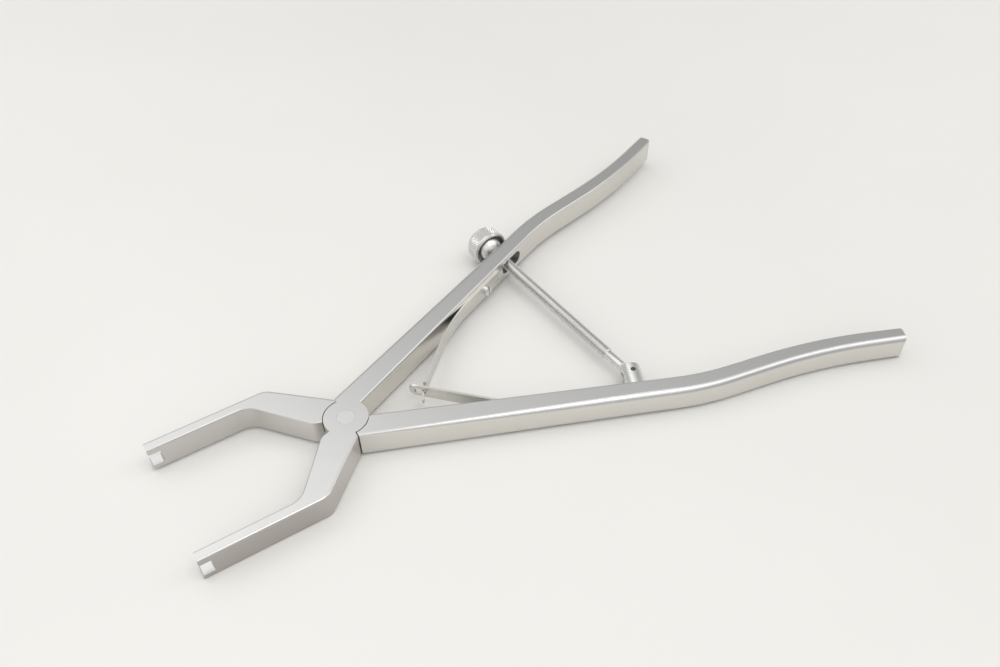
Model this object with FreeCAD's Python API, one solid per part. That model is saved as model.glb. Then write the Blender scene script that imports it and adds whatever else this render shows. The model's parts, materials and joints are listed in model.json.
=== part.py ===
"""Spinal compression forceps with a screw clamp, millimetres, +Z up.

The origin lies on the pivot axis, in the plane of the arms' undersides. +X runs from the pivot
towards the jaw tips, and +Y towards the handle that carries the clevis post. The forceps is
stored fully open. The two arms have the same outline, mirrored in the XZ plane: everything
is laid out on the nut side, at negative Y, and the post side pieces are mirrored across.
"""
import FreeCAD, Part
import math
import os

V = FreeCAD.Vector
UP = V(0, 0, 1)

# Arms: one thickness throughout, lapped half and half at the pivot.
ARM_THICK = 12.0
MID_Z = ARM_THICK / 2
LAP_GAP = 0.1
HUB_RADIUS = 9.1
HUB_SOCKET_GAP = 0.35
STOP_GAP = 0.5
REST_SPREAD = 23.5

# Handle: centre line beside the pivot, two gentle bends, width tapering to the end.
HANDLE_OFFSET = 5.3
HANDLE_RUNS = ((147.0, REST_SPREAD), (54.4, 11.1), (38.1, 23.2))
HANDLE_BENDS = (0, 115.0, 230.0, 0)
HANDLE_WIDTHS = (10.6, 8.6, 8.2, 7.1)
HANDLE_END_ROUND = 1.6
OUTER_ROUND_HUB = 1.1
OUTER_ROUND_GRIP = 2.7
INNER_ROUND = 0.8

# Jaw: shoulder beside the hub, oblique run, then a straight finger along X.
JAW_TIP_X = 72.8
FINGER_IN_Y = 26.7
FINGER_THICK = 4.7
SHOULDER_ANGLE = 17.0
SHOULDER_REACH = 13.2
OBLIQUE_IN_ANGLE = 50.9
OBLIQUE_OUT_ANGLE = 42.5
SHOULDER_ROUND = 5.0
THROAT_ROUND = 9.0
ELBOW_ROUND = 6.5
JAW_OUTER_ROUND = 1.0
JAW_INNER_ROUND = 0.6

# Open slot across each jaw tip, for the rod that the jaws pull along.
ROD_HELD = 6.0
ROD_HELD_GAP = 0.5
TIP_SLOT_HIGH = ROD_HELD + ROD_HELD_GAP
TIP_SLOT_DEEP = 5.1
TIP_SLOT_FLOOR_Z = 2.6
TIP_SLOT_CORNER = 1.0
TIP_SLOT_MOUTH = 0.4

# Pivot pin: wide head flush with the top, shank riveted flush below.
PIN_HEAD_DIA = 7.4
PIN_HEAD_DEEP = 3.0
PIN_SHANK_DIA = 5.5
PIN_RIVET_DEEP = 1.5
PIN_FIT = 0.05

# Screw clamp: the rod swings about the clevis pin and passes the seat point in the handle.
ROD_REACH = 119.9
CLEVIS_ANGLE = 19.95
SEAT_ANGLE = 27.0
ROD_DIA = 5.0
NECK_DIA = 4.2
NECK_START = 6.6
THREAD_START = 16.4
ROD_PAST_SEAT = 15.4
ROD_END_CHAMFER = 0.6
EYE_RADIUS = 3.0
EYE_THICK = 3.0

# Clevis post on the inner face of the post side handle, with its cross pin.
POST_DIA = 8.8
POST_PAST_PIN = 4.6
POST_CHAMFER = 0.9
POST_SLOT_GAP = 0.25
POST_SLOT_PAST_EYE = 1.0
POST_STEM_DIA = 5.0
POST_STEM_LONG = 5.0
CROSS_PIN_DIA = 2.2
CROSS_PIN_SUNK = 1.0

# Slot through the nut side handle for the rod.
ROD_SLOT_LONG = 15.0
ROD_SLOT_HIGH = 6.6

# Domed washer and knurled nut, placed by their distance past the seat point along the rod.
DOME_RADIUS = 6.3
DOME_CLEAR = 0.5
WASHER_RADIUS = 6.0
WASHER_END = 9.7
WASHER_FIT = 0.1
NUT_DIA = 17.5
NUT_START = 7.1
NUT_LONG = 8.9
NUT_FIT = 0.08
NUT_RECESS_DIA = 15.0
NUT_CHAMFER = 0.8
NUT_BACK_CHAMFER = 1.4
NUT_BORE_CHAMFER = 0.7
NUT_WASHER_GAP = 0.1

# Leaf springs: screwed to the handles' inner faces, the tongue of one in a window of the other.
# The tongue leaf lifts off first, sags towards its handle and turns at its tip. The slotted
# leaf is straight.
LEAF_THICK = 1.0
LEAF_HIGH = 7.4
LEAF_TIP_HIGH = 5.6
LEAF_SLOT_GAP = 0.6
LEAF_END_FLAT = 0.8
LEAF_TIP_ROUND = 2.7
TONGUE_LEAF_FLAT = 31.6
TONGUE_LEAF_ROUND = 40.0
TONGUE_LEAF_BOW_AT = 16.0
TONGUE_LEAF_SAG = 2.3
TONGUE_LEAF_BOW_ROUND = 90.0
TONGUE_TURN = 18.0
TONGUE_TURN_ROUND = 8.0
SLOTTED_LEAF_FLAT = 47.3
SLOTTED_LEAF_ROUND = 12.0
CROSSING_X = -34.8
TONGUE_PAST = 6.0
TONGUE_HIGH = 2.0
TONGUE_LONG = 8.3
SLOTTED_PAST = 5.8
WINDOW_HIGH = 2.6
WINDOW_TO_TIP = 2.0
WINDOW_LONG = 5.1

# Leaf spring screws, set back from the end of the leaf.
SCREW_BACK = 14.6
SCREW_DIA = 2.5
SCREW_LONG = 6.0
SCREW_HEAD_DIA = 4.6
SCREW_HEAD_HIGH = 1.9
SCREW_HEAD_CHAMFER = 0.4
SCREW_SLOT_WIDE = 0.8
SCREW_SLOT_DEEP = 0.9
SCREW_HOLE_FIT = 0.1

# How far cutting shapes run past the faces they cut.
OVERRUN = 2.0


def polar(distance, degrees):
    """Point in the plan at an angle from +X."""
    a = math.radians(degrees)
    return V(distance * math.cos(a), distance * math.sin(a), 0)


def left_of(direction):
    """Unit vector to the left of a level direction."""
    return V(-direction.y, direction.x, 0).normalize()


def across(shape):
    """The same shape on the other side of the XZ plane."""
    return shape.mirror(V(0, 0, 0), V(0, 1, 0))


def rounded_wire(corners):
    """Closed outline: straight runs through (point, radius) corners, with tangent arcs."""
    ends = []
    for i, (p, r) in enumerate(corners):
        if r == 0:
            ends.append((p, None, p))
            continue
        back = (corners[i - 1][0] - p).normalize()
        onward = (corners[(i + 1) % len(corners)][0] - p).normalize()
        half = back.getAngle(onward) / 2
        reach = r / math.tan(half)
        middle = p + (back + onward).normalize() * (r / math.sin(half) - r)
        ends.append((p + back * reach, middle, p + onward * reach))
    edges = []
    for i, (first, middle, last) in enumerate(ends):
        if middle is not None:
            edges.append(Part.Arc(first, middle, last).toShape())
        following = ends[(i + 1) % len(ends)][0]
        edges.append(Part.LineSegment(last, following).toShape())
    return Part.Wire(edges)


def band(path, widths):
    """Corners on the left and on the right of a path of (point, bend radius)."""
    left = []
    right = []
    runs = [(b[0] - a[0]).normalize() for a, b in zip(path, path[1:])]
    arriving = [runs[0]] + runs
    leaving = runs + [runs[-1]]
    for (p, r), width, before, after in zip(path, widths, arriving, leaving):
        turn = math.asin(before.cross(after).z)
        side = left_of(before + after) * (width / 2 / math.cos(turn / 2))
        change = math.copysign(width / 2, turn) if r else 0
        left.append((p + side, r - change))
        right.append((p - side, r + change))
    return left, right


def prism(corners, low, high):
    """Upright solid on a rounded outline, between two heights."""
    face = Part.Face(rounded_wire(corners))
    face.translate(UP * low)
    return face.extrude(UP * (high - low))


def upright(radius, low, high, centre=V(0, 0, 0)):
    """Upright round bar between two heights."""
    return Part.makeCylinder(radius, high - low, centre + UP * low)


def laid(shape, start, direction):
    """A shape built along +Z, laid at mid height along a level direction, its Y upwards."""
    turn = FreeCAD.Rotation(left_of(direction), UP, direction, "ZXY")
    place = FreeCAD.Placement(start + UP * MID_Z, turn)
    return shape.transformed(place.toMatrix(), True)


def block(wide, high, first, last, start, direction):
    """Box centred on a level line, from one distance along it to another."""
    box = Part.makeBox(wide, high, last - first, V(-wide / 2, -high / 2, first))
    return laid(box, start, direction)


def turned(profile, start, direction):
    """Solid of revolution on a level axis: the profile holds (distance, radius) points."""
    corners = [V(r, 0, s) for s, r in profile]
    face = Part.Face(Part.makePolygon(corners + corners[:1]))
    return laid(face.revolve(V(0, 0, 0), UP, 360), start, direction)


def edges_through(solid, points):
    """Edges of an arm sized solid above or below the plan points, on its two flat faces."""
    probes = [Part.Vertex(p + UP * z) for p in points for z in (0, ARM_THICK)]
    return [e for e in solid.Edges if any(e.distToShape(q)[0] < 1e-3 for q in probes)]


def halfway(a, b):
    """Middle of two points."""
    return (a + b) * 0.5


def handle_path():
    """The handle's centre line: beside the pivot, the two bends and the end."""
    points = [polar(HANDLE_OFFSET, REST_SPREAD - 90)]
    for length, angle in HANDLE_RUNS:
        points.append(points[-1] + polar(length, 180 + angle))
    return list(zip(points, HANDLE_BENDS))


OUTER, INNER = band(handle_path(), HANDLE_WIDTHS)
INNER_START = INNER[0][0]
FACE_ALONG = (INNER[1][0] - INNER_START).normalize()
FACE_INWARD = left_of(FACE_ALONG) * -1

SEAT = polar(ROD_REACH, 180 + SEAT_ANGLE)
CLEVIS = polar(ROD_REACH, 180 - CLEVIS_ANGLE)
CLEVIS_ACROSS = polar(ROD_REACH, 180 + CLEVIS_ANGLE)
ROD_ALONG = (SEAT - CLEVIS).normalize()
ROD_TO_SEAT = CLEVIS.distanceToPoint(SEAT)
LEAF_END_S = (SEAT - INNER_START).dot(FACE_ALONG) - ROD_SLOT_LONG / 2 - LEAF_SLOT_GAP
SCREW_S = LEAF_END_S - SCREW_BACK


def face_point(s, lift=0.0):
    """Point at a distance along the handle's inner face, raised off it."""
    return INNER_START + FACE_ALONG * s + FACE_INWARD * lift


def face_foot(point):
    """The nearest point of the handle's inner face."""
    return face_point((point - INNER_START).dot(FACE_ALONG))


def handle_outer_y():
    """Where the line of the handle's outer edge crosses X = 0, as a positive Y."""
    return (HANDLE_OFFSET + HANDLE_WIDTHS[0] / 2) / math.cos(math.radians(REST_SPREAD))


def handle():
    """Handle, its outer edges rounded more and more towards the grip."""
    body = prism(OUTER + INNER[::-1], 0, ARM_THICK)
    outer = edges_through(body, [halfway(OUTER[0][0], OUTER[1][0])])
    body = body.makeFillet(OUTER_ROUND_HUB, OUTER_ROUND_GRIP, outer)
    body = body.makeFillet(INNER_ROUND, edges_through(body, [face_point(SCREW_S)]))
    ends = [(p, HANDLE_END_ROUND) for p, _ in (OUTER[-1], INNER[-1])]
    return body.common(prism(OUTER[:-1] + ends + INNER[-2::-1], 0, ARM_THICK))


def jaw():
    """Jaw, from the hub to the tip with its open slot."""
    out_y = FINGER_IN_Y + FINGER_THICK
    start = V(STOP_GAP / 2, handle_outer_y(), 0)
    shoulder = polar(SHOULDER_REACH, SHOULDER_ANGLE)
    in_rise = math.tan(math.radians(OBLIQUE_IN_ANGLE))
    out_rise = math.tan(math.radians(OBLIQUE_OUT_ANGLE))
    throat = V(shoulder.x + (FINGER_IN_Y - shoulder.y) / in_rise, FINGER_IN_Y, 0)
    elbow = V(start.x + (out_y - start.y) / out_rise, out_y, 0)
    tip_in = V(JAW_TIP_X, FINGER_IN_Y, 0)
    tip_out = V(JAW_TIP_X, out_y, 0)
    outline = [(V(start.x, 0, 0), 0), (shoulder, SHOULDER_ROUND), (throat, THROAT_ROUND)]
    outline += [(tip_in, 0), (tip_out, 0), (elbow, ELBOW_ROUND), (start, 0)]
    body = prism(outline, 0, ARM_THICK)
    body = body.makeFillet(JAW_OUTER_ROUND, edges_through(body, [halfway(elbow, tip_out)]))
    body = body.makeFillet(JAW_INNER_ROUND, edges_through(body, [halfway(throat, tip_in)]))
    return body.cut(tip_slot(tip_in))


def tip_slot(tip):
    """Cutter for the open slot: square sides, rounded inner corners, eased mouth."""
    floor = TIP_SLOT_FLOOR_Z
    roof = floor + TIP_SLOT_HIGH
    deep = tip.x - TIP_SLOT_DEEP
    ease = TIP_SLOT_MOUTH
    corners = [(V(deep, floor, 0), TIP_SLOT_CORNER), (V(tip.x - ease, floor, 0), 0)]
    corners += [(V(tip.x + OVERRUN, floor - ease - OVERRUN, 0), 0)]
    corners += [(V(tip.x + OVERRUN, roof + ease + OVERRUN, 0), 0)]
    corners += [(V(tip.x - ease, roof, 0), 0), (V(deep, roof, 0), TIP_SLOT_CORNER)]
    shape = prism(corners, -FINGER_THICK - tip.y - OVERRUN, OVERRUN - tip.y)
    shape.rotate(V(0, 0, 0), V(1, 0, 0), 90)
    return shape


def arm(low, high):
    """One arm with its half of the hub between two heights, nut side outline."""
    body = handle()
    past_stop = Part.makeBox(HUB_RADIUS * 4, HUB_RADIUS * 4, ARM_THICK)
    past_stop.translate(V(-STOP_GAP / 2, -HUB_RADIUS * 3, 0))
    body = body.cut(past_stop).fuse(jaw())
    other_half = (0, low) if low > 0 else (high, ARM_THICK)
    body = body.cut(upright(HUB_RADIUS + HUB_SOCKET_GAP, *other_half))
    return body.fuse(upright(HUB_RADIUS, low, high)).removeSplitter()


def screw_hole():
    """Cutter for the tapped hole of a leaf spring screw."""
    into = LEAF_THICK - SCREW_LONG
    start = face_point(SCREW_S)
    return turned([(into, 0), (into, SCREW_DIA / 2), (0, SCREW_DIA / 2), (0, 0)], start, FACE_INWARD)


def arm_nut_side():
    """Arm with the upper half of the hub and the slot for the rod."""
    body = arm(MID_Z + LAP_GAP / 2, ARM_THICK)
    head = PIN_HEAD_DIA / 2 + PIN_FIT
    body = body.cut(upright(PIN_SHANK_DIA / 2 + PIN_FIT, 0, ARM_THICK))
    body = body.cut(upright(head, ARM_THICK - PIN_HEAD_DEEP - PIN_FIT, ARM_THICK))
    return body.cut(rod_slot()).cut(screw_hole())


def rod_slot():
    """Cutter for the long slot that lets the rod through and lets it swing."""
    foot = face_foot(SEAT)
    deep = -HANDLE_WIDTHS[0] - OVERRUN
    between = ROD_SLOT_LONG - ROD_SLOT_HIGH
    cutter = block(between, ROD_SLOT_HIGH, deep, OVERRUN, foot, FACE_INWARD)
    radius = ROD_SLOT_HIGH / 2
    for end in (-1, 1):
        start = foot + FACE_ALONG * (end * between / 2)
        round_end = [(deep, 0), (deep, radius), (OVERRUN, radius), (OVERRUN, 0)]
        cutter = cutter.fuse(turned(round_end, start, FACE_INWARD))
    return cutter


def arm_post_side():
    """Arm with the lower half of the hub and the hole for the clevis post."""
    body = arm(0, MID_Z - LAP_GAP / 2)
    body = body.cut(upright(PIN_SHANK_DIA / 2, 0, ARM_THICK))
    body = body.cut(upright(PIN_HEAD_DIA / 2, 0, PIN_RIVET_DEEP))
    stem = [(-POST_STEM_LONG, 0), (-POST_STEM_LONG, POST_STEM_DIA / 2)]
    stem += [(0, POST_STEM_DIA / 2), (0, 0)]
    body = body.cut(turned(stem, face_foot(CLEVIS_ACROSS), FACE_INWARD)).cut(screw_hole())
    return across(body)


def pivot_pin():
    """Headed pin, riveted in the lower arm and flush with both faces."""
    shape = upright(PIN_SHANK_DIA / 2, 0, ARM_THICK)
    shape = shape.fuse(upright(PIN_HEAD_DIA / 2, ARM_THICK - PIN_HEAD_DEEP, ARM_THICK))
    return shape.fuse(upright(PIN_HEAD_DIA / 2, 0, PIN_RIVET_DEEP)).removeSplitter()


def clevis_post():
    """Round post with a level slot across its end, and a stem in the handle."""
    foot = face_foot(CLEVIS_ACROSS)
    to_pin = (CLEVIS_ACROSS - foot).dot(FACE_INWARD)
    end = to_pin + POST_PAST_PIN
    radius = POST_DIA / 2
    profile = [(-POST_STEM_LONG, 0), (-POST_STEM_LONG, POST_STEM_DIA / 2)]
    profile += [(0, POST_STEM_DIA / 2), (0, radius), (end - POST_CHAMFER, radius)]
    profile += [(end, radius - POST_CHAMFER), (end, 0)]
    shape = turned(profile, foot, FACE_INWARD)
    slot_start = to_pin - EYE_RADIUS - POST_SLOT_PAST_EYE
    slot_high = EYE_THICK + 2 * POST_SLOT_GAP
    shape = shape.cut(block(POST_DIA * 2, slot_high, slot_start, end + OVERRUN, foot, FACE_INWARD))
    return across(shape.cut(upright(CROSS_PIN_DIA / 2, 0, ARM_THICK, CLEVIS_ACROSS)))


def clevis_pin():
    """Cross pin, a little below the post's surface at both ends."""
    half = math.sqrt((POST_DIA / 2) ** 2 - (CROSS_PIN_DIA / 2) ** 2) - CROSS_PIN_SUNK
    return upright(CROSS_PIN_DIA / 2, MID_Z - half, MID_Z + half, CLEVIS)


def threaded_rod():
    """Rod with a flat eye, a plain neck and the thread's full diameter up to its end."""
    neck = NECK_DIA / 2
    full = ROD_DIA / 2
    end = ROD_TO_SEAT + ROD_PAST_SEAT
    profile = [(0, 0), (0, neck), (THREAD_START - ROD_END_CHAMFER, neck)]
    profile += [(THREAD_START, full), (end - ROD_END_CHAMFER, full)]
    profile += [(end, full - ROD_END_CHAMFER), (end, 0)]
    shape = turned(profile, CLEVIS, ROD_ALONG)
    shape = shape.fuse(upright(EYE_RADIUS, MID_Z - neck, MID_Z + neck, CLEVIS))
    for side in (-1, 1):
        flat = Part.makeBox(EYE_RADIUS * 4, neck, NECK_START + EYE_RADIUS * 2)
        low = EYE_THICK / 2 if side > 0 else -EYE_THICK / 2 - neck
        flat.translate(V(-EYE_RADIUS * 2, low, -EYE_RADIUS * 2))
        shape = shape.cut(laid(flat, CLEVIS, ROD_ALONG))
    return shape.cut(upright(CROSS_PIN_DIA / 2 + PIN_FIT, 0, ARM_THICK, CLEVIS))


def dome_centre():
    """Distance past the seat point of the dome's centre, for its gap to the handle."""
    to_face = abs((SEAT - OUTER[0][0]).dot(left_of(OUTER[1][0] - OUTER[0][0])))
    lean = ROD_ALONG.getAngle(left_of(OUTER[1][0] - OUTER[0][0]))
    return (to_face + DOME_CLEAR + DOME_RADIUS) / math.cos(lean)


def domed_washer():
    """Washer with a ball shaped face towards the slot in the handle."""
    centre = dome_centre()
    flat_from = centre - math.sqrt(DOME_RADIUS ** 2 - WASHER_RADIUS ** 2)
    start = SEAT + ROD_ALONG * centre
    ball = Part.makeSphere(DOME_RADIUS, start + UP * MID_Z)
    before = centre - DOME_RADIUS - OVERRUN
    front = [(before, 0), (before, WASHER_RADIUS), (flat_from, WASHER_RADIUS), (flat_from, 0)]
    shape = ball.common(turned(front, SEAT, ROD_ALONG))
    skirt = [(flat_from, 0), (flat_from, WASHER_RADIUS), (WASHER_END, WASHER_RADIUS)]
    shape = shape.fuse(turned(skirt + [(WASHER_END, 0)], SEAT, ROD_ALONG))
    bore = ROD_DIA / 2 + WASHER_FIT
    hole = [(0, 0), (0, bore), (WASHER_END + OVERRUN, bore), (WASHER_END + OVERRUN, 0)]
    return shape.cut(turned(hole, SEAT, ROD_ALONG)).removeSplitter()


def knurled_nut():
    """Round nut with a recess for the washer in its front face."""
    bore = ROD_DIA / 2 + NUT_FIT
    full = NUT_DIA / 2
    back = NUT_START + NUT_LONG
    floor = WASHER_END + NUT_WASHER_GAP
    profile = [(floor, bore), (floor, NUT_RECESS_DIA / 2), (NUT_START, NUT_RECESS_DIA / 2)]
    profile += [(NUT_START, full - NUT_CHAMFER), (NUT_START + NUT_CHAMFER, full)]
    profile += [(back - NUT_BACK_CHAMFER, full), (back, full - NUT_BACK_CHAMFER)]
    profile += [(back, bore + NUT_BORE_CHAMFER), (back - NUT_BORE_CHAMFER, bore)]
    return turned(profile, SEAT, ROD_ALONG)


def leaf(flat, lift_round, past_crossing, bow=None, tip_turn=None):
    """Plain leaf on the nut side: flat on the handle, then bent off towards the other leaf."""
    half = LEAF_THICK / 2
    crossing = V(CROSSING_X, 0, 0)
    lift = face_point(LEAF_END_S - flat, half)
    path = [(face_point(LEAF_END_S, half), 0), (lift, lift_round)]
    if bow:
        at, sag, bow_round = bow
        chord = (crossing - lift).normalize()
        path.append((lift + chord * at - left_of(chord) * sag, bow_round))
    run = (crossing - path[-1][0]).normalize()
    if tip_turn:
        degrees, turn_round = tip_turn
        path.append((crossing, turn_round))
        run = FreeCAD.Rotation(UP, degrees).multVec(run)
    tip = crossing + run * past_crossing
    path.append((tip, 0))
    left, right = band(path, [LEAF_THICK] * len(path))
    shape = prism(left + right[::-1], MID_Z - LEAF_HIGH / 2, MID_Z + LEAF_HIGH / 2)
    hole = SCREW_DIA / 2 + SCREW_HOLE_FIT
    profile = [(-OVERRUN, 0), (-OVERRUN, hole), (OVERRUN, hole), (OVERRUN, 0)]
    shape = shape.cut(turned(profile, face_point(SCREW_S), FACE_INWARD))
    return shape.common(leaf_taper(tip)), tip, run


def leaf_taper(tip):
    """Side view of a leaf, drawn along X: round at the handle end, lower towards the tip."""
    end = face_point(LEAF_END_S)
    tip_x = tip.x + LEAF_THICK / 2
    end_round = (LEAF_HIGH - LEAF_END_FLAT) / 2
    corners = [(V(end.x, MID_Z + LEAF_HIGH / 2, 0), end_round)]
    corners += [(V(end.x, MID_Z - LEAF_HIGH / 2, 0), end_round)]
    corners += [(V(tip_x, MID_Z - LEAF_TIP_HIGH / 2, 0), LEAF_TIP_ROUND)]
    corners += [(V(tip_x, MID_Z + LEAF_TIP_HIGH / 2, 0), LEAF_TIP_ROUND)]
    shape = prism(corners, -HANDLE_WIDTHS[0], -end.y + HANDLE_WIDTHS[0])
    shape.rotate(V(0, 0, 0), V(1, 0, 0), 90)
    return shape


def spring_leaf_tongue():
    """Leaf with its end narrowed to a tongue, turned a little towards the other handle."""
    bow = (TONGUE_LEAF_BOW_AT, TONGUE_LEAF_SAG, TONGUE_LEAF_BOW_ROUND)
    tip_turn = (TONGUE_TURN, TONGUE_TURN_ROUND)
    shape, tip, run = leaf(TONGUE_LEAF_FLAT, TONGUE_LEAF_ROUND, TONGUE_PAST, bow, tip_turn)
    whole = block(LEAF_HIGH, LEAF_HIGH + OVERRUN, -TONGUE_LONG, OVERRUN, tip, run)
    tongue = block(LEAF_HIGH, TONGUE_HIGH, -TONGUE_LONG - OVERRUN, OVERRUN, tip, run)
    return shape.cut(whole.cut(tongue))


def spring_leaf_slotted():
    """Leaf with a round ended window near its tip."""
    shape, tip, run = leaf(SLOTTED_LEAF_FLAT, SLOTTED_LEAF_ROUND, SLOTTED_PAST)
    radius = WINDOW_HIGH / 2
    first = -WINDOW_TO_TIP - WINDOW_LONG + radius
    last = -WINDOW_TO_TIP - radius
    shape = shape.cut(block(LEAF_HIGH, WINDOW_HIGH, first, last, tip, run))
    profile = [(-LEAF_HIGH, 0), (-LEAF_HIGH, radius), (LEAF_HIGH, radius), (LEAF_HIGH, 0)]
    for middle in (first, last):
        shape = shape.cut(turned(profile, tip + run * middle, left_of(run)))
    return across(shape)


def spring_screw():
    """Slotted cheese head screw through a leaf into the handle, nut side."""
    shank = SCREW_DIA / 2
    head = SCREW_HEAD_DIA / 2
    top = LEAF_THICK + SCREW_HEAD_HIGH
    into = LEAF_THICK - SCREW_LONG
    profile = [(into, 0), (into, shank), (LEAF_THICK, shank), (LEAF_THICK, head)]
    profile += [(top - SCREW_HEAD_CHAMFER, head), (top, head - SCREW_HEAD_CHAMFER), (top, 0)]
    start = face_point(SCREW_S)
    shape = turned(profile, start, FACE_INWARD)
    cut_from = top - SCREW_SLOT_DEEP
    slot = block(SCREW_SLOT_WIDE, SCREW_HEAD_DIA * 2, cut_from, top + OVERRUN, start, FACE_INWARD)
    return shape.cut(slot)


def main():
    """Write every piece to its own file."""
    pieces = {
        "arm_nut_side": arm_nut_side(),
        "arm_post_side": arm_post_side(),
        "pivot_pin": pivot_pin(),
        "clevis_post": clevis_post(),
        "clevis_pin": clevis_pin(),
        "threaded_rod": threaded_rod(),
        "domed_washer": domed_washer(),
        "knurled_nut": knurled_nut(),
        "spring_leaf_tongue": spring_leaf_tongue(),
        "spring_leaf_slotted": spring_leaf_slotted(),
        "spring_screw_tongue": spring_screw(),
        "spring_screw_slotted": across(spring_screw()),
    }
    os.makedirs("parts", exist_ok=True)
    for name, shape in pieces.items():
        count = len(shape.Solids)
        solid = shape.Solids[0] if count == 1 else shape
        print(name, "solids", count, "valid", solid.isValid(), "volume", round(solid.Volume, 1))
        solid.exportStep("parts/" + name + ".step")


main()
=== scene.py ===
"""Looks of the spinal compression forceps around its modelled parts, in metres, +Z up.

The arms, pins, screws, washer and clevis post keep their modelled shapes. The rod gets its thread,
the nut its knurl, and the two leaf springs are cut into short lengths.
"""
import json
import math
from collections import namedtuple
from functools import partial

import bmesh
import bpy
import numpy as np
from mathutils import Matrix, Vector


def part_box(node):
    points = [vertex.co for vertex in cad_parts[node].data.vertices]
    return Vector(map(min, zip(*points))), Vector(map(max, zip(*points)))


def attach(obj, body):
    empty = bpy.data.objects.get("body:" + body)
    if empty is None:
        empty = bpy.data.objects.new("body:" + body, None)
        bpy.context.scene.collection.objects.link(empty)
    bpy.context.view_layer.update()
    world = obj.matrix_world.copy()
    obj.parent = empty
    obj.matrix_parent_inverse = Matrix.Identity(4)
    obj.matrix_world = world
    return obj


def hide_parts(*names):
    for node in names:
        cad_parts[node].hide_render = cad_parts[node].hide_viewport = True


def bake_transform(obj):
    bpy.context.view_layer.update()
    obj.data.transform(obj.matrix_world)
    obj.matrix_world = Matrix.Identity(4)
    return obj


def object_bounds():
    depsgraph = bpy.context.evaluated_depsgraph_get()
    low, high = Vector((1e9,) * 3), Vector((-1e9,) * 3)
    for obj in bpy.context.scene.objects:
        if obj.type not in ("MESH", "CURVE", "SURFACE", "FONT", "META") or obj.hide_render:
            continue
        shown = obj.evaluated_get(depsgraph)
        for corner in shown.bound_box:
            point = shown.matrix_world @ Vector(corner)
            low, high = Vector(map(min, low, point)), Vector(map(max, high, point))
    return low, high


MM = 0.001
UP = Vector((0, 0, 1))

# The foot of the pivot's axis.
PIVOT = Vector((0, 0, 0))

# Points closer than this are one point, and edges that turn by more than this stay sharp.
MERGED = 0.001 * MM
SHARP = math.radians(32)

# Camera of the photograph: where it stands, its heading, its fall below level and its roll.
CAMERA_AT = (71.74 * MM, 240.38 * MM, 301.31 * MM)
CAMERA_HEADING = -2.11259
CAMERA_FALL = 0.788726
CAMERA_ROLL = -0.028183
CAMERA_LENS = 33.96
CAMERA_SENSOR = 36.0
CAMERA_NEAR = 10.0 * MM

# The rod's neck and thread, along the rod from the clevis pin. The crests run out at both ends.
NECK_FROM = 7.4 * MM
NECK_RADIUS = 2.1 * MM
ROD_RADIUS = 2.5 * MM
THREAD_START = 16.4 * MM
THREAD_PITCH = 0.8 * MM
THREAD_DEPTH = 0.42 * MM
THREAD_ROUND = 28
THREAD_RUN_OUT = 0.6 * MM

# The nut's section: its chamfers, its bore and the recess in its front face.
NUT_CHAMFER = 0.8 * MM
NUT_BACK_CHAMFER = 1.4 * MM
NUT_BORE_RADIUS = 2.58 * MM
NUT_BORE_CHAMFER = 0.7 * MM
NUT_RECESS_DEEP = 2.7 * MM
NUT_RECESS_RADIUS = 7.5 * MM

# The knurl: how many diamonds go round, how long and deep each is, and the plain rim before them.
KNURL_COUNT = 46
KNURL_LONG = 1.2 * MM
KNURL_DEPTH = 0.4 * MM
KNURL_MARGIN = 0.5 * MM

# Leaf springs: how finely they are cut.
LEAF_CUT = 2.0 * MM

# How far each handle leans from the middle line. The lines of its grinding follow it.
HANDLE_LEAN = math.radians(23.5)

# Finishes: grey, least and greatest roughness, fineness of the tool's lines across them per metre,
# strength of the lines, and strength of the matt speckle.
Finish = namedtuple("Finish", "grey rough fineness marks speckle")
BRIGHT_GREY = (0.78, 0.78, 0.77)
ARM_FINISH = Finish((0.64, 0.64, 0.635), (0.28, 0.30), 1400.0, 0.008, 0.08)
PIVOT_PIN_FINISH = Finish((0.69, 0.69, 0.685), (0.28, 0.34), 2500.0, 0.02, 0.08)
NUT_FINISH = Finish(BRIGHT_GREY, (0.28, 0.34), 2500.0, 0.03, 0.1)
ROD_FINISH = Finish((0.73, 0.73, 0.72), (0.24, 0.30), 2500.0, 0.05, 0.1)
WASHER_FINISH = Finish(BRIGHT_GREY, (0.34, 0.38), 2500.0, 0.02, 0.1)
POST_FINISH = Finish(BRIGHT_GREY, (0.24, 0.30), 2500.0, 0.03, 0.1)
# The clevis pin's near-black grey is painted shade, for the dark hole it sits in at the post's top.
CLEVIS_PIN_PAINTED_DARK = Finish((0.14, 0.14, 0.14), (0.3, 0.4), 2500.0, 0.05, 0.1)
LEAF_FINISH = Finish((0.68, 0.67, 0.635), (0.26, 0.34), 1800.0, 0.06, 0.1)
SCREW_FINISH = Finish(BRIGHT_GREY, (0.18, 0.26), 900.0, 0.03, 0.1)

# Steel's patterns per metre: the tool's lines lengthwise, the clouds and the speckle. The sum of
# lines and clouds is spread over its usual span, and the bumps of lines and speckle are this high.
LINES_LENGTHWISE = 25.0
CLOUDS = 60.0
SPECKLE = 5200.0
PATTERN_SPAN = (0.7, 1.3)
PATTERN_DETAIL = 3.0
SPECKLE_DETAIL = 1.0
LINE_HEIGHT = 0.03 * MM
SPECKLE_HEIGHT = 0.02 * MM

# Crevices: how far away a surface may stand to darken one, the span of openness over which the shade
# fades, and how much of the grey is left in the deepest.
ARM_CREVICE = 1.0 * MM
ARM_HOLLOW = 4.0 * MM
POST_CREVICE = 1.5 * MM
LEAF_CREVICE = 2.5 * MM
SCREW_CREVICE = 1.0 * MM
CREVICE_RAYS = 8
CREVICE_OPENNESS = (0.04, 0.36)
CREVICE_KEPT = 0.05

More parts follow.
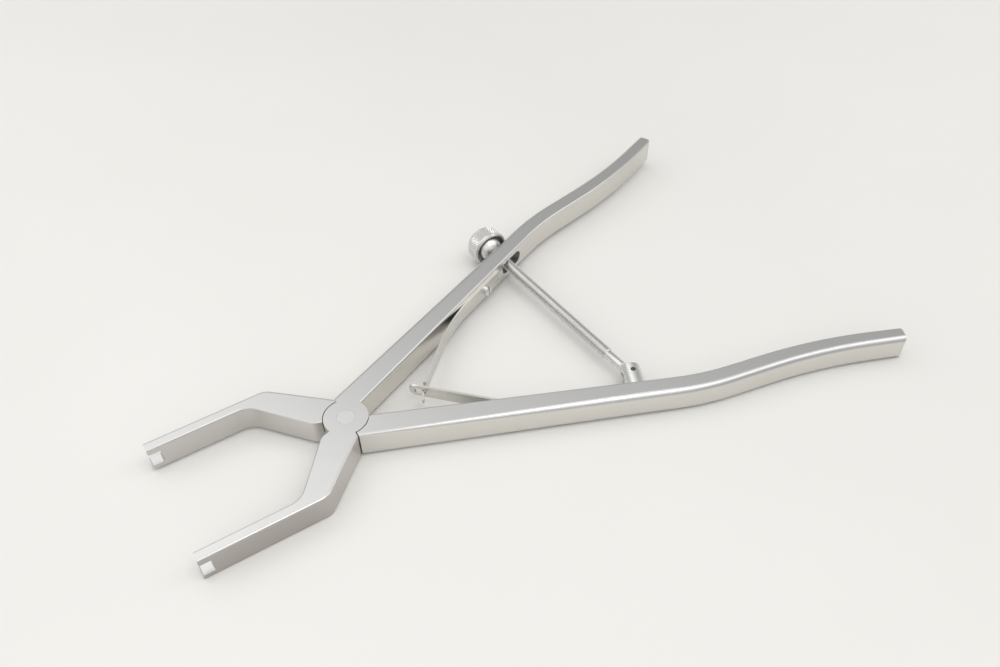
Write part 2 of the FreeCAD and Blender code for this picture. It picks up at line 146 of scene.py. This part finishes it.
# The narrow gap round the hub stays lighter than other crevices, out to between these radii.
HUB_RING = (10.4 * MM, 10.8 * MM)
HUB_RING_KEPT = 0.9

# The arms' upright sides are painted lighter and warmer than their tops, a painted reflection of the
# pale table, and darker at the jaws than at the handles. The painted tone changes along X, and a face
# is upright by how little it faces up or down.
SIDE_PAINTED_REFLECTION = (1.12, 1.095, 1.05)
JAW_SIDE_PAINTED_LIGHT = {"arm_nut_side": (0.74, 0.70, 0.68), "arm_post_side": (0.93, 0.90, 0.88)}
JAW_SIDES_FROM = (-12.0 * MM, 36.0 * MM)
SIDE_FACING = (0.25, 0.6)

# Painted shade in the knurl's grooves: how much of the grey their bottoms keep.
GROOVE_SHADE_KEPT = 0.8

# The table: its span, its two pale tones and their mottle per metre, and the painted light that makes
# it paler along X, from the nut's place.
TABLE_SPAN = 6.0
TABLE_TONES = ((0.825, 0.815, 0.792, 1), (0.855, 0.848, 0.825, 1))
TABLE_MOTTLE = 9.0
TABLE_ROUGH = 0.55
TABLE_SPECULAR = 0.3
TABLE_PAINTED_LIGHT_X = (-120.0 * MM, 180.0 * MM)
TABLE_PAINTED_LIGHT = (0.95, 1.04)

# The room's brightness goes by how far a direction agrees with the bright way. Its levels stand at
# shares of that agreement's span, and fade into the level of the walls below a height.
ROOM_BRIGHT_WAY = Vector((0.337, 0.059, 0.94)).normalized()
ROOM_FACING = (0.2, 1.0)
ROOM_LEVELS = ((0.0, 0.42), (0.3, 0.48), (0.4, 0.62), (0.5, 0.92),
               (0.58, 1.1), (0.65, 1.2), (0.85, 0.98), (1.0, 0.9))
ROOM_WALL_LEVEL = 0.62
ROOM_WALL_TOP = (0.1, 0.45)
ROOM_COLOUR = (1.0, 0.995, 0.98, 1)

# Soft lamps: name, place, side of the square, watts and colour.
LAMPS = (("key", (-0.2, 0.4, 1.25), 0.6, 2.2, (1.0, 0.99, 0.97)),
         ("side", (-1.15, 0.42, 0.98), 0.8, 2.6, (1.0, 1.0, 1.0)),
         ("back", (0.18, -0.93, 1.16), 0.86, 0.8, (1.0, 1.0, 1.0)))

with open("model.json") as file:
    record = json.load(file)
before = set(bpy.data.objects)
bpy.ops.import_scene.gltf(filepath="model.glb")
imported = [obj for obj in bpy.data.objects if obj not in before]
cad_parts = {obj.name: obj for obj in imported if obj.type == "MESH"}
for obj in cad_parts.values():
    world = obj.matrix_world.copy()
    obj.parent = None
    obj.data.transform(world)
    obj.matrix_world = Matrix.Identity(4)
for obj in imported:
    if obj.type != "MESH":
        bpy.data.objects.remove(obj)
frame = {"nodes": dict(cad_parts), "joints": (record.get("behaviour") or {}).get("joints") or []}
cad_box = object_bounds()
nodes = frame["nodes"]
joints = {j["name"]: j for j in frame["joints"]}
scene = bpy.context.scene

ROD_FOOT = Vector(joints["rod_swing"]["pos_m"])
ROD_ALONG = -Vector(joints["nut_travel"]["axis"]).normalized()


def reach(node):
    """Where a node begins and ends along the rod, and its largest distance from the rod's axis."""
    points = np.array([v.co for v in nodes[node].data.vertices]) - np.array(ROD_FOOT)
    distance = points @ np.array(ROD_ALONG)
    radius = np.linalg.norm(points - np.outer(distance, ROD_ALONG), axis=1)
    return float(distance.min()), float(distance.max()), float(radius.max())


def smooth(mesh):
    """Shade a mesh smooth, but for its sharp edges."""
    mesh.polygons.foreach_set("use_smooth", [True] * len(mesh.polygons))


def finish_mesh(name, mesh, body=None):
    """An object of a mesh, smooth but for its sharp edges, riding on a body where one is given."""
    if "custom_normal" in mesh.attributes:
        mesh.attributes.remove(mesh.attributes["custom_normal"])
    smooth(mesh)
    mesh.set_sharp_from_angle(angle=SHARP)
    piece = bpy.data.objects.new(name, mesh)
    scene.collection.objects.link(piece)
    if body:
        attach(piece, body)
    return piece


def spun(name, rows, closed, crossed=()):
    """Mesh from rows of (distance, radius) arrays, each row spun once round the rod's axis.

    The cells after a crossed row are cut along the line between their two low corners.
    """
    side = ROD_ALONG.cross(UP).normalized()
    up = side.cross(ROD_ALONG)
    count = len(rows[0][0])
    angles = np.arange(count) * (2 * math.pi / count)
    points = []
    for distance, radius in rows:
        ring = np.outer(distance, ROD_ALONG) + np.outer(radius * np.cos(angles), side)
        points.append(np.array(ROD_FOOT) + ring + np.outer(radius * np.sin(angles), up))
    faces = []
    for i in range(len(rows) if closed else len(rows) - 1):
        a, b = i * count, (i + 1) % len(rows) * count
        for j in range(count):
            k = (j + 1) % count
            if i not in crossed:
                faces.append((a + j, a + k, b + k, b + j))
            elif (i + j) % 2 == 0:
                faces += [(a + j, a + k, b + j), (a + k, b + k, b + j)]
            else:
                faces += [(a + j, a + k, b + k), (a + j, b + k, b + j)]
    mesh = bpy.data.meshes.new(name)
    mesh.from_pydata(np.concatenate(points).tolist(), [], faces)
    mesh.validate()
    return mesh


def merge(work):
    """Join the points of a working mesh that lie in one place."""
    bmesh.ops.remove_doubles(work, verts=work.verts, dist=MERGED)


def node_copy(node):
    """A working copy of a node's mesh, its faces joined along their edges."""
    work = bmesh.new()
    work.from_mesh(nodes[node].data)
    merge(work)
    return work


def cut(work, place, normal, drop=False):
    """Cut a working mesh along a plane, and drop what lies beyond it where asked."""
    bmesh.ops.bisect_plane(work, geom=work.verts[:] + work.edges[:] + work.faces[:],
                           plane_co=place, plane_no=normal, clear_outer=drop)


def mesh_of(work, name):
    """The mesh of a working mesh, which is then done with."""
    mesh = bpy.data.meshes.new(name)
    work.to_mesh(mesh)
    work.free()
    return mesh


def neck_and_thread():
    """The rod's neck and the helical thread from there to its end, which is closed."""
    end = reach("threaded_rod")[1]
    run_in = THREAD_START - THREAD_RUN_OUT
    root = ROD_RADIUS - THREAD_DEPTH
    wave = (root, ROD_RADIUS, ROD_RADIUS, root)
    turns = math.ceil((end - THREAD_START) / THREAD_PITCH) + 1
    lead = np.arange(THREAD_ROUND) * (THREAD_PITCH / THREAD_ROUND)
    one = np.ones(THREAD_ROUND)
    rows = [(NECK_FROM * one, NECK_RADIUS * one), (run_in * one, NECK_RADIUS * one)]
    for i in range(-len(wave), turns * len(wave)):
        distance = THREAD_START + lead + i * THREAD_PITCH / len(wave)
        held = np.clip(distance, run_in, end)
        to_end = np.minimum(held - run_in, end - held)
        limit = root + THREAD_DEPTH * np.clip(to_end / THREAD_RUN_OUT, 0, 1)
        rows.append((held, np.minimum(wave[i % len(wave)], limit)))
    rows.append((rows[-1][0], 0 * one))
    return spun("thread", rows, closed=False)


def threaded_rod():
    """The rod's eye as modelled, with its neck and thread."""
    work = node_copy("threaded_rod")
    cut(work, ROD_FOOT + ROD_ALONG * NECK_FROM, ROD_ALONG, drop=True)
    work.from_mesh(neck_and_thread())
    merge(work)
    bmesh.ops.holes_fill(work, edges=[e for e in work.edges if e.is_boundary])
    bmesh.ops.recalc_face_normals(work, faces=work.faces)
    piece = finish_mesh("rod_with_thread", mesh_of(work, "rod_with_thread"), "rod")
    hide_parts("threaded_rod")
    return piece


def knurled_nut():
    """The nut's section spun round, with rows of small pyramids over its middle band."""
    front, back, radius = reach("knurled_nut")
    recess = front + NUT_RECESS_DEEP
    low = front + NUT_CHAMFER + KNURL_MARGIN
    high = back - NUT_BACK_CHAMFER
    one = np.ones(KNURL_COUNT * 2)
    before = ((back - NUT_BORE_CHAMFER, NUT_BORE_RADIUS), (recess, NUT_BORE_RADIUS),
              (recess, NUT_RECESS_RADIUS), (front, NUT_RECESS_RADIUS),
              (front, radius - NUT_CHAMFER), (front + NUT_CHAMFER, radius), (low, radius))
    after = ((high, radius - KNURL_DEPTH), (back, radius - NUT_BACK_CHAMFER),
             (back, NUT_BORE_RADIUS + NUT_BORE_CHAMFER))
    rows = [(s * one, r * one) for s, r in before]
    steps = round((high - low) / (KNURL_LONG / 2))
    crossed = range(len(rows), len(rows) + steps)
    for i in crossed:
        deep = (np.arange(KNURL_COUNT * 2) + i) % 2
        distance = low + (high - low) * (i - crossed.start) / steps
        rows.append((distance * one, radius - KNURL_DEPTH * deep))
    rows += [(s * one, r * one) for s, r in after]
    mesh = spun("nut_with_knurl", rows, closed=True, crossed=crossed)
    mesh.flip_normals()
    piece = finish_mesh("nut_with_knurl", mesh, "nut")
    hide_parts("knurled_nut")
    return piece


def bending_leaf(node):
    """A leaf cut into short lengths along X."""
    work = node_copy(node)
    low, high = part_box(node)
    x = low.x + LEAF_CUT
    while x < high.x:
        cut(work, (x, 0, 0), (1, 0, 0))
        x += LEAF_CUT
    name = node + "_bending"
    piece = finish_mesh(name, mesh_of(work, name))
    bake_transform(piece)
    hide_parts(node)
    return piece


def add(tree, kind, inputs=None, **settings):
    """A shader node with its settings, and its inputs set or linked."""
    node = tree.nodes.new("ShaderNode" + kind)
    for name, value in settings.items():
        setattr(node, name, value)
    for name, value in (inputs or {}).items():
        if isinstance(value, bpy.types.NodeSocket):
            tree.links.new(value, node.inputs[name])
        else:
            node.inputs[name].default_value = value
    return node


def remap(tree, value, start, end, low=0.0, high=1.0, **settings):
    """A value's span from start to end, carried over to the span from low to high."""
    return add(tree, "MapRange", {"Value": value, "From Min": start, "From Max": end,
                                  "To Min": low, "To Max": high}, **settings).outputs["Result"]


def scaled(tree, colour, factor):
    """A colour times a factor."""
    return add(tree, "VectorMath", {0: colour, "Scale": factor}, operation="SCALE").outputs[0]


def place_on(tree):
    """Where a point of the piece lies."""
    return add(tree, "TexCoord").outputs["Object"]


def component(tree, vector, axis):
    """One component of a vector."""
    return add(tree, "SeparateXYZ", {"Vector": vector}).outputs[axis]


def noise(tree, vector, scale, detail):
    """Noise value at a scale per metre along each of the three axes."""
    placed = add(tree, "Mapping", {"Vector": vector, "Scale": scale}).outputs["Vector"]
    return add(tree, "TexNoise", {"Vector": placed, "Scale": 1.0, "Detail": detail}).outputs["Fac"]


def new_material(name):
    """An empty node material, its node tree and its surface input."""
    material = bpy.data.materials.new(name)
    material.use_nodes = True
    tree = material.node_tree
    tree.nodes.clear()
    out = tree.nodes.new("ShaderNodeOutputMaterial")
    return material, tree, out.inputs["Surface"]


def ground_along(tree, angle):
    """Coordinates whose first axis runs along an arm, for marks left by lengthwise grinding."""
    return add(tree, "VectorRotate", {"Vector": place_on(tree), "Angle": -angle},
               rotation_type="Z_AXIS").outputs["Vector"]


def from_axis(tree, start, along):
    """How far along an axis a point lies, and how far from it."""
    from_start = add(tree, "VectorMath", {0: place_on(tree), 1: start}, operation="SUBTRACT").outputs[0]
    distance = add(tree, "VectorMath", {0: from_start, 1: along}, operation="DOT_PRODUCT").outputs["Value"]
    foot = scaled(tree, along, distance)
    outward = add(tree, "VectorMath", {0: from_start, 1: foot}, operation="SUBTRACT").outputs[0]
    return distance, add(tree, "VectorMath", {0: outward}, operation="LENGTH").outputs["Value"]


def turned_round(tree, start, along):
    """Coordinates whose first axis goes round a turned piece, and the others along and out."""
    distance, radius = from_axis(tree, start, along)
    return add(tree, "CombineXYZ", {"Y": distance, "Z": radius}).outputs["Vector"]


def rolled_strip(tree):
    """Coordinates whose first axis runs along a strip, the same all through its thickness."""
    split = add(tree, "SeparateXYZ", {"Vector": place_on(tree)}).outputs
    return add(tree, "CombineXYZ", {"X": split["X"], "Z": split["Z"]}).outputs["Vector"]


def painted_side_light(tree, colour, jaw_painted_light):
    """A colour times the painted light of an arm's upright sides, where a face is one."""
    facing = component(tree, add(tree, "TexCoord").outputs["Normal"], "Z")
    level = add(tree, "Math", {0: facing}, operation="ABSOLUTE").outputs[0]
    upright = remap(tree, level, *SIDE_FACING, 1.0, 0.0)
    at_jaw = remap(tree, component(tree, place_on(tree), "X"), *JAW_SIDES_FROM,
                   interpolation_type="SMOOTHSTEP")
    side = add(tree, "Mix", {"Factor": at_jaw, "A": SIDE_PAINTED_REFLECTION, "B": jaw_painted_light},
               data_type="VECTOR").outputs["Result"]
    tone = add(tree, "Mix", {"Factor": upright, "A": (1.0, 1.0, 1.0), "B": side},
               data_type="VECTOR").outputs["Result"]
    return add(tree, "VectorMath", {0: colour, 1: tone}, operation="MULTIPLY").outputs[0]


def painted_groove_shade(tree, colour):
    """A colour with painted shade, darker towards the bottoms of the nut's knurl."""
    radius = from_axis(tree, ROD_FOOT, ROD_ALONG)[1]
    crest = reach("knurled_nut")[2]
    return scaled(tree, colour, remap(tree, radius, crest - KNURL_DEPTH, crest, GROOVE_SHADE_KEPT))


def crevice_shade(tree, distance, alone=False):
    """How much light a crevice keeps, by what stands within a distance, the piece alone or all pieces."""
    open_share = add(tree, "AmbientOcclusion", {"Distance": distance}, samples=CREVICE_RAYS,
                     only_local=alone).outputs["AO"]
    return remap(tree, open_share, *CREVICE_OPENNESS, CREVICE_KEPT)


def arm_shade(tree):
    """Shade in the gaps between the arms and in the hollows of each, lighter in the gap round the hub."""
    radius = from_axis(tree, PIVOT, UP)[1]
    ring = remap(tree, radius, *HUB_RING, HUB_RING_KEPT, 0.0)
    gaps = add(tree, "Math", {0: crevice_shade(tree, ARM_CREVICE), 1: ring}, operation="MAXIMUM").outputs[0]
    hollows = crevice_shade(tree, ARM_HOLLOW, alone=True)
    return add(tree, "Math", {0: gaps, 1: hollows}, operation="MULTIPLY").outputs[0]


def steel(name, finish, grain, shade=None, tone=None):
    """Steel with fine lines left by the tool, faint clouds and a matt speckle.

    The lines run along the first axis of the grain's coordinates. Tone paints light and shade into the
    colour, and shade says how much light each spot keeps.
    """
    material, tree, surface = new_material(name)
    place = place_on(tree)
    lines = noise(tree, grain(tree), (LINES_LENGTHWISE, finish.fineness, finish.fineness), PATTERN_DETAIL)
    clouds = noise(tree, place, (CLOUDS, CLOUDS, CLOUDS), PATTERN_DETAIL)
    grit = noise(tree, place, (SPECKLE, SPECKLE, SPECKLE), SPECKLE_DETAIL)
    both = add(tree, "Math", {0: lines, 1: clouds}, operation="ADD").outputs[0]
    share = remap(tree, both, *PATTERN_SPAN)
    ramp = add(tree, "ValToRGB", {"Fac": share})
    for end, factor in zip(ramp.color_ramp.elements, (1 - finish.marks, 1 + finish.marks)):
        end.color = (*(c * factor for c in finish.grey), 1)
    colour = ramp.outputs["Color"]
    if tone:
        colour = tone(tree, colour)
    if shade:
        colour = scaled(tree, colour, shade(tree))
    least, greatest = finish.rough
    gloss = remap(tree, share, 0.0, 1.0, greatest, least)
    matt = add(tree, "Bump", {"Height": grit, "Strength": finish.speckle, "Distance": SPECKLE_HEIGHT})
    drawn = add(tree, "Bump", {"Height": lines, "Strength": finish.marks, "Distance": LINE_HEIGHT,
                               "Normal": matt.outputs["Normal"]})
    shader = add(tree, "BsdfPrincipled", {"Base Color": colour, "Metallic": 1.0,
                                          "Roughness": gloss, "Normal": drawn.outputs["Normal"]})
    tree.links.new(shader.outputs["BSDF"], surface)
    return material


def dress(material, *pieces):
    """Give whole pieces one material."""
    for piece in pieces:
        piece.data.materials.clear()
        piece.data.materials.append(material)


def dress_all(rod, nut, leaves):
    """Materials of every piece, with the tool's lines along or round each."""
    round_rod = partial(turned_round, start=ROD_FOOT, along=ROD_ALONG)
    round_pivot = partial(turned_round, start=PIVOT, along=UP)
    round_clevis_pin = partial(turned_round, start=ROD_FOOT, along=UP)
    post_low, post_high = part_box("clevis_post")
    post_along = Vector((-math.sin(HANDLE_LEAN), -math.cos(HANDLE_LEAN), 0))
    round_post = partial(turned_round, start=(post_low + post_high) / 2, along=post_along)
    by_post = partial(crevice_shade, distance=POST_CREVICE)
    by_leaf = partial(crevice_shade, distance=LEAF_CREVICE)
    by_screw = partial(crevice_shade, distance=SCREW_CREVICE)
    # The arms carry painted shade in their gaps and painted light on their upright sides.
    for node, lean in (("arm_nut_side", HANDLE_LEAN), ("arm_post_side", -HANDLE_LEAN)):
        dress(steel(node + "_satin", ARM_FINISH, partial(ground_along, angle=lean), arm_shade,
                    partial(painted_side_light, jaw_painted_light=JAW_SIDE_PAINTED_LIGHT[node])), nodes[node])
    dress(steel("pin_satin", PIVOT_PIN_FINISH, round_pivot), nodes["pivot_pin"])
    dress(steel("nut_turned", NUT_FINISH, round_rod, tone=painted_groove_shade), nut)
    dress(steel("rod_turned", ROD_FINISH, round_rod), rod)
    dress(steel("washer_turned", WASHER_FINISH, round_rod), nodes["domed_washer"])
    dress(steel("post_turned", POST_FINISH, round_post, by_post), nodes["clevis_post"])
    # The clevis pin is painted near black as painted shade.
    dress(steel("clevis_pin_painted_dark", CLEVIS_PIN_PAINTED_DARK, round_clevis_pin, by_post), nodes["clevis_pin"])
    dress(steel("leaf_rolled", LEAF_FINISH, rolled_strip, by_leaf), *leaves)
    dress(steel("screw_turned", SCREW_FINISH, partial(ground_along, angle=0.0), by_screw),
          nodes["spring_screw_tongue"], nodes["spring_screw_slotted"])


def table():
    """Pale table through the three points that the forceps rests on."""
    nut_low = min((v.co for v in nodes["knurled_nut"].data.vertices), key=lambda p: p.z)
    jaw_tip = Vector((cad_box[1].x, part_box("arm_nut_side")[1].y, 0))
    post_low, post_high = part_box("arm_post_side")
    grip_end = Vector((post_low.x, post_high.y, 0))
    normal = (grip_end - jaw_tip).cross(nut_low - jaw_tip).normalized()
    if normal.z < 0:
        normal = -normal
    half = TABLE_SPAN / 2
    corners = [(-half, -half, 0), (half, -half, 0), (half, half, 0), (-half, half, 0)]
    mesh = bpy.data.meshes.new("table")
    mesh.from_pydata(corners, [], [(0, 1, 2, 3)])
    top = bpy.data.objects.new("table", mesh)
    scene.collection.objects.link(top)
    turn = UP.rotation_difference(normal).to_matrix().to_4x4()
    top.matrix_world = Matrix.Translation(nut_low) @ turn
    dress(table_material(), top)


def table_material():
    """Pale mottled surface, with painted light making it a little paler towards the jaws."""
    material, tree, surface = new_material("table_pale")
    place = place_on(tree)
    mottle = noise(tree, place, (TABLE_MOTTLE, TABLE_MOTTLE, TABLE_MOTTLE), PATTERN_DETAIL)
    ramp = add(tree, "ValToRGB", {"Fac": mottle})
    for end, tone in zip(ramp.color_ramp.elements, TABLE_TONES):
        end.color = tone
    # Painted light: the table grows paler along X.
    painted_light = remap(tree, component(tree, place, "X"), *TABLE_PAINTED_LIGHT_X, *TABLE_PAINTED_LIGHT)
    pale = scaled(tree, ramp.outputs["Color"], painted_light)
    shader = add(tree, "BsdfPrincipled", {"Base Color": pale, "Roughness": TABLE_ROUGH,
                                          "Specular IOR Level": TABLE_SPECULAR})
    tree.links.new(shader.outputs["BSDF"], surface)
    return material


def studio_world():
    """Pale room with a soft bright ring round the bright way, and plainer walls."""
    world = bpy.data.worlds.new("room")
    scene.world = world
    world.use_nodes = True
    tree = world.node_tree
    tree.nodes.clear()
    way = add(tree, "TexCoord").outputs["Generated"]
    facing = add(tree, "VectorMath", {0: way, 1: ROOM_BRIGHT_WAY}, operation="DOT_PRODUCT").outputs["Value"]
    ramp = add(tree, "ValToRGB", {"Fac": remap(tree, facing, *ROOM_FACING)})
    steps = ramp.color_ramp.elements
    for share, level in ROOM_LEVELS[1:-1]:
        steps.new(share)
    for step, (share, level) in zip(steps, ROOM_LEVELS):
        step.position = share
        step.color = (level, level, level, 1)
    above = remap(tree, component(tree, way, "Z"), *ROOM_WALL_TOP, interpolation_type="SMOOTHSTEP")
    strength = add(tree, "Mix", {"Factor": above, "A": ROOM_WALL_LEVEL,
                                 "B": ramp.outputs["Color"]}).outputs["Result"]
    room = add(tree, "Background", {"Color": ROOM_COLOUR, "Strength": strength})
    out = tree.nodes.new("ShaderNodeOutputWorld")
    tree.links.new(room.outputs["Background"], out.inputs["Surface"])


def soft_lamp(name, place, size, watts, colour):
    """Square lamp at a place, facing the middle of the forceps."""
    lamp = bpy.data.lights.new(name, "AREA")
    lamp.shape = "SQUARE"
    lamp.size = size
    lamp.energy = watts
    lamp.color = colour
    light = bpy.data.objects.new(name, lamp)
    scene.collection.objects.link(light)
    middle = (cad_box[0] + cad_box[1]) / 2
    light.location = place
    light.rotation_euler = (Vector(place) - middle).to_track_quat("Z", "Y").to_euler()


def camera():
    """Camera at the photograph's place, heading, fall and roll."""
    level = math.cos(CAMERA_FALL)
    ahead = Vector((level * math.cos(CAMERA_HEADING), level * math.sin(CAMERA_HEADING),
                    -math.sin(CAMERA_FALL)))
    right = Vector((math.sin(CAMERA_HEADING), -math.cos(CAMERA_HEADING), 0))
    down = ahead.cross(right)
    cosine, sine = math.cos(CAMERA_ROLL), math.sin(CAMERA_ROLL)
    axes = Matrix((right * cosine - down * sine, -(right * sine + down * cosine), -ahead)).transposed()
    data = bpy.data.cameras.new("photo_camera")
    data.lens = CAMERA_LENS
    data.sensor_width = CAMERA_SENSOR
    data.clip_start = CAMERA_NEAR
    eye = bpy.data.objects.new("photo_camera", data)
    scene.collection.objects.link(eye)
    eye.matrix_world = Matrix.Translation(CAMERA_AT) @ axes.to_4x4()
    scene.camera = eye


for node in nodes.values():
    smooth(node.data)
rod = threaded_rod()
nut = knurled_nut()
tongue_leaf = bending_leaf("spring_leaf_tongue")
slotted_leaf = bending_leaf("spring_leaf_slotted")
dress_all(rod, nut, (tongue_leaf, slotted_leaf))
table()
studio_world()
for lamp in LAMPS:
    soft_lamp(*lamp)
camera()
scene.view_settings.view_transform = "Standard"
